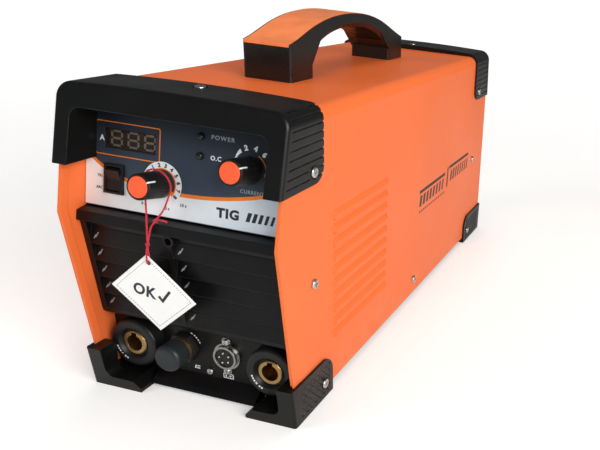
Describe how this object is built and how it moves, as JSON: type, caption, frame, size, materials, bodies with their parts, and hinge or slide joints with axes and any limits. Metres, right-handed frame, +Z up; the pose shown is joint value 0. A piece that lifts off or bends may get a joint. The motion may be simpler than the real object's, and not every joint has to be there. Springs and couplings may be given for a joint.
{
  "type": "tig welding machine",
  "caption": "Inverter TIG power source in a folded orange cover with black corner guards, sloping control panel, output sockets, carry handle, cooling fan and hang tag.",
  "frame": {"origin": "on the floor under the middle of the machine's footprint", "axes": "+X to the right seen from the control panel, +Y from the panel to the fan end, +Z up"},
  "size_m": [0.1736, 0.4755, 0.2776],
  "materials": {
    "cover_paint": "orange powder coat, semi-gloss",
    "guard_plastic": "black moulded nylon, satin",
    "fascia_plastic": "black moulded plastic",
    "panel_print": "printed slate-grey overlay",
    "window": "smoked pane",
    "segments": "unlit segment block",
    "led_lens": "unlit lamp",
    "circuit_board": "green solder mask",
    "tray_steel": "black painted sheet",
    "zinc_screw": "zinc plated",
    "knob_black": "moulded",
    "knob_cap": "orange moulded",
    "pot_metal": "nickel plated",
    "switch_black": "moulded",
    "rocker_red": "moulded",
    "socket_black": "glass-filled nylon",
    "brass": "machined",
    "outlet_metal": "blackened brass, bare on its collar",
    "cap_grey": "soft plastic cap",
    "connector_chrome": "plated",
    "connector_insert": "moulded insulator",
    "pin_silver": "silver plated",
    "fan_plastic": "moulded",
    "cable_rubber": "black jacket",
    "aluminium_fin": "extruded",
    "module_epoxy": "moulded epoxy",
    "capacitor_sleeve": "sleeved can",
    "ferrite": "sintered",
    "copper": "copper",
    "hose_blue": "gas hose",
    "valve_body": "plated",
    "tag_card": "coated card",
    "string_red": "twisted cotton",
    "handle_black": "moulded",
    "pad_orange": "moulded insert"
  },
  "bodies": {
    "machine": {"arc_starter": "module_epoxy", "base_tray": "tray_steel", "board_standoffs": "zinc_screw", "bulk_capacitors": "capacitor_sleeve", "busbars": "copper", "cable_gland": "socket_black", "control_board": "circuit_board", "control_panel": "panel_print", "cover_screws": "zinc_screw", "display_module": "segments", "display_window": "window", "fan_frame": "fan_plastic", "fan_guard": "connector_chrome", "fan_screws": "zinc_screw", "front_guard": "guard_plastic", "front_left_foot": "guard_plastic", "front_right_foot": "guard_plastic", "gas_hose": "hose_blue", "gas_inlet_fitting": "brass", "gas_outlet_fitting": "outlet_metal", "gas_valve": "valve_body", "handle_frame": "handle_black", "handle_pad": "pad_orange", "handle_screws": "zinc_screw", "indicator_leds": "led_lens", "inverter_board": "circuit_board", "left_heatsink": "aluminium_fin", "lower_fascia": "fascia_plastic", "mains_cable": "cable_rubber", "mode_switch_body": "switch_black", "negative_socket_body": "socket_black", "negative_socket_insert": "brass", "output_reactor": "copper", "positive_socket_body": "socket_black", "positive_socket_insert": "brass", "potentiometers": "pot_metal", "power_modules": "module_epoxy", "power_switch_body": "switch_black", "rear_guard": "guard_plastic", "rear_left_foot": "guard_plastic", "rear_panel": "tray_steel", "rear_right_foot": "guard_plastic", "right_heatsink": "aluminium_fin", "shell_cover": "cover_paint", "socket_wall_screws": "zinc_screw", "transformer_coil": "copper", "transformer_core": "ferrite", "trigger_socket_insert": "connector_insert", "trigger_socket_pins": "pin_silver", "trigger_socket_shell": "connector_chrome"},
    "crater_knob": {"crater_knob_grip": "knob_black", "crater_knob_cap": "knob_cap"},
    "current_knob": {"current_knob_grip": "knob_black", "current_knob_cap": "knob_cap"},
    "mode_rocker": {"mode_rocker": "switch_black"},
    "power_rocker": {"power_rocker": "rocker_red"},
    "fan_rotor": {"fan_rotor": "fan_plastic"},
    "outlet_cap": {"gas_outlet_cap": "cap_grey"},
    "tag": {"hang_tag": "tag_card", "tag_string": "string_red"}
  },
  "joints": [
    {"name": "crater_knob_turn", "type": "hinge", "parent": "machine", "child": "crater_knob", "pos_m": [-0.02, -0.21201, 0.16665], "axis": [0, -0.9848, 0.1736], "range_deg": [-120, 180]},
    {"name": "current_knob_turn", "type": "hinge", "parent": "machine", "child": "current_knob", "pos_m": [0.0465, -0.20862, 0.18585], "axis": [0, -0.9848, 0.1736], "range_deg": [-120, 180]},
    {"name": "mode_rocker_tip", "type": "hinge", "parent": "machine", "child": "mode_rocker", "pos_m": [-0.0575, -0.21096, 0.16423], "axis": [1, 0, 0], "range_deg": [-20, 0]},
    {"name": "power_rocker_tip", "type": "hinge", "parent": "machine", "child": "power_rocker", "pos_m": [-0.044, 0.22055, 0.052], "axis": [-1, 0, 0], "range_deg": [-20, 0]},
    {"name": "fan_spin", "type": "hinge", "parent": "machine", "child": "fan_rotor", "pos_m": [0, 0.2, 0.146], "axis": [0, 1, 0], "continuous": true},
    {"name": "outlet_cap_slide", "type": "slide", "parent": "machine", "child": "outlet_cap", "axis": [0, -1, 0], "range_m": [0, 0.03]},
    {"name": "tag_swing", "type": "hinge", "parent": "machine", "child": "tag", "pos_m": [-0.02, -0.21701, 0.16765], "axis": [0, -1, 0], "range_deg": [-18, 18]}
  ]
}
